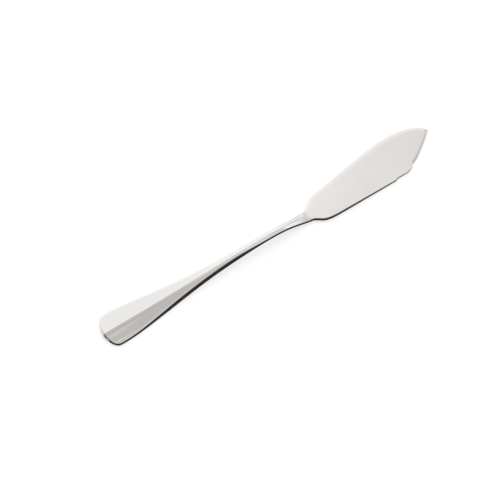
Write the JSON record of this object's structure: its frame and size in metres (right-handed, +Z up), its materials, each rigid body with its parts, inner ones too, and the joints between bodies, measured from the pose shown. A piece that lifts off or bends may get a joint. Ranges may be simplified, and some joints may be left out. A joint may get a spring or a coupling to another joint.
{
  "type": "fish knife",
  "caption": "Table fish knife: an arched, ridged handle that tapers from a broad rounded end, and a flat leaf-shaped blade with a blunt edge and a notched back, for lifting fish off the bone.",
  "frame": {"origin": "on the flat underside of the blade, on the handle's axis, level with the heel of the cutting edge", "axes": "+X along the handle's axis towards the tip, +Y towards the cutting edge, +Z up from the table"},
  "size_m": [0.204, 0.026, 0.0066],
  "materials": {
    "handle_steel": "polished",
    "blade_steel": "satin"
  },
  "bodies": {
    "root": {"handle": "handle_steel", "blade": "blade_steel"}
  },
  "joints": []
}
